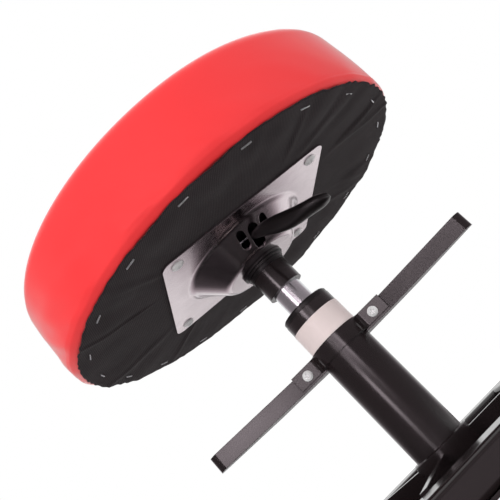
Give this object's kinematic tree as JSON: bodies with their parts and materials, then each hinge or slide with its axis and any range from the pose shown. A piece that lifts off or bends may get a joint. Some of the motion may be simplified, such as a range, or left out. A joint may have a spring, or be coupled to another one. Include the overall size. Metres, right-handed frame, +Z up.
{
  "type": "creeper seat",
  "caption": "Round padded mechanic's stool on a gas-lift column with a release lever, a cross bar clamped to the column and a square tray base on casters.",
  "frame": {"origin": "on the floor, under the middle of the stool, on the column's axis at the lowest seat height", "axes": "+Z up along the column; the release lever side of the seat faces -Y; +X to the right of someone facing that side"},
  "size_m": [0.377, 0.377, 0.431],
  "materials": {
    "red_vinyl": "glossy stretched vinyl",
    "cream_foam": "open-cell foam",
    "plywood": "raw plywood",
    "black_cloth": "fine woven cambric",
    "bright_plate": "bright nickel-like plating",
    "bright_zinc": "bright zinc plating",
    "chrome": "polished hard chrome",
    "plain_steel": "plain turned steel",
    "black_powder": "satin black powder coat",
    "black_plastic": "moulded, light grain",
    "pale_label": "blank satin film",
    "grey_core": "moulded wheel core",
    "black_tyre": "moulded rubber tread"
  },
  "bodies": {
    "base": {"front_rail": "black_powder", "back_rail": "black_powder", "left_rail": "black_powder", "right_rail": "black_powder", "tray_floor": "black_powder", "tray_dividers": "black_powder", "hub_socket": "black_powder", "column_tube": "black_powder", "guide_bush": "black_plastic", "blank_label": "pale_label", "strap": "black_powder", "cross_bar": "black_powder", "clamp_screws": "bright_zinc", "clamp_nuts": "bright_zinc", "lower_race": "plain_steel", "caster_stems": "bright_zinc", "stem_nuts": "bright_zinc"},
    "rod": {"piston_rod": "chrome", "piston": "plain_steel", "rod_clip": "plain_steel", "upper_race": "plain_steel", "race_balls": "chrome"},
    "seat": {"gas_cylinder": "chrome", "rod_gland": "black_plastic", "valve_block": "plain_steel", "socket_tube": "black_powder", "collar_ring": "black_plastic", "seat_plate": "bright_plate", "plate_screws": "bright_zinc", "tee_nuts": "bright_zinc", "lever_bracket": "bright_plate", "pivot_rod": "chrome", "seat_board": "plywood", "dust_cover": "black_cloth", "staples": "bright_zinc", "foam_pad": "cream_foam", "vinyl_cover": "red_vinyl"},
    "lever": {"height_lever": "black_plastic"},
    "button": {"valve_button": "plain_steel"},
    "front_left_caster": {"front_left_fork": "bright_zinc", "front_left_axle": "bright_zinc"},
    "front_left_wheel_body": {"front_left_wheel": "grey_core", "front_left_tyre": "black_tyre"},
    "front_right_caster": {"front_right_fork": "bright_zinc", "front_right_axle": "bright_zinc"},
    "front_right_wheel_body": {"front_right_wheel": "grey_core", "front_right_tyre": "black_tyre"},
    "back_left_caster": {"back_left_fork": "bright_zinc", "back_left_axle": "bright_zinc"},
    "back_left_wheel_body": {"back_left_wheel": "grey_core", "back_left_tyre": "black_tyre"},
    "back_right_caster": {"back_right_fork": "bright_zinc", "back_right_axle": "bright_zinc"},
    "back_right_wheel_body": {"back_right_wheel": "grey_core", "back_right_tyre": "black_tyre"}
  },
  "joints": [
    {"name": "seat_swivel", "type": "hinge", "parent": "base", "child": "rod", "pos_m": [0, 0, 0.075], "axis": [0, 0, 1], "continuous": true},
    {"name": "seat_lift", "type": "slide", "parent": "rod", "child": "seat", "axis": [0, 0, 1], "range_m": [0, 0.1]},
    {"name": "lever_pull", "type": "hinge", "parent": "seat", "child": "lever", "pos_m": [0, -0.04, 0.3355], "axis": [-1, 0, 0], "range_deg": [0, 5], "stiffness_Nm_per_rad": 0.6, "springref_deg": -11.46},
    {"name": "button_press", "type": "slide", "parent": "seat", "child": "button", "axis": [0, 0, -1], "range_m": [0, 0.004], "stiffness_N_per_m": 20},
    {"name": "front_left_swivel", "type": "hinge", "parent": "base", "child": "front_left_caster", "pos_m": [-0.135, -0.135, 0.058], "axis": [0, 0, 1], "continuous": true},
    {"name": "front_left_roll", "type": "hinge", "parent": "front_left_caster", "child": "front_left_wheel_body", "pos_m": [-0.12107, -0.12525, 0.025], "axis": [-0.5736, 0.8192, 0], "continuous": true},
    {"name": "front_right_swivel", "type": "hinge", "parent": "base", "child": "front_right_caster", "pos_m": [0.135, -0.135, 0.058], "axis": [0, 0, 1], "continuous": true},
    {"name": "front_right_roll", "type": "hinge", "parent": "front_right_caster", "child": "front_right_wheel_body", "pos_m": [0.14893, -0.12525, 0.025], "axis": [-0.5736, 0.8192, 0], "continuous": true},
    {"name": "back_left_swivel", "type": "hinge", "parent": "base", "child": "back_left_caster", "pos_m": [-0.135, 0.135, 0.058], "axis": [0, 0, 1], "continuous": true},
    {"name": "back_left_roll", "type": "hinge", "parent": "back_left_caster", "child": "back_left_wheel_body", "pos_m": [-0.12107, 0.14475, 0.025], "axis": [-0.5736, 0.8192, 0], "continuous": true},
    {"name": "back_right_swivel", "type": "hinge", "parent": "base", "child": "back_right_caster", "pos_m": [0.135, 0.135, 0.058], "axis": [0, 0, 1], "continuous": true},
    {"name": "back_right_roll", "type": "hinge", "parent": "back_right_caster", "child": "back_right_wheel_body", "pos_m": [0.14893, 0.14475, 0.025], "axis": [-0.5736, 0.8192, 0], "continuous": true}
  ],
  "couplings": [
    {"joint": "button_press", "follows": "lever_pull", "m_per_rad": 0.043}
  ]
}
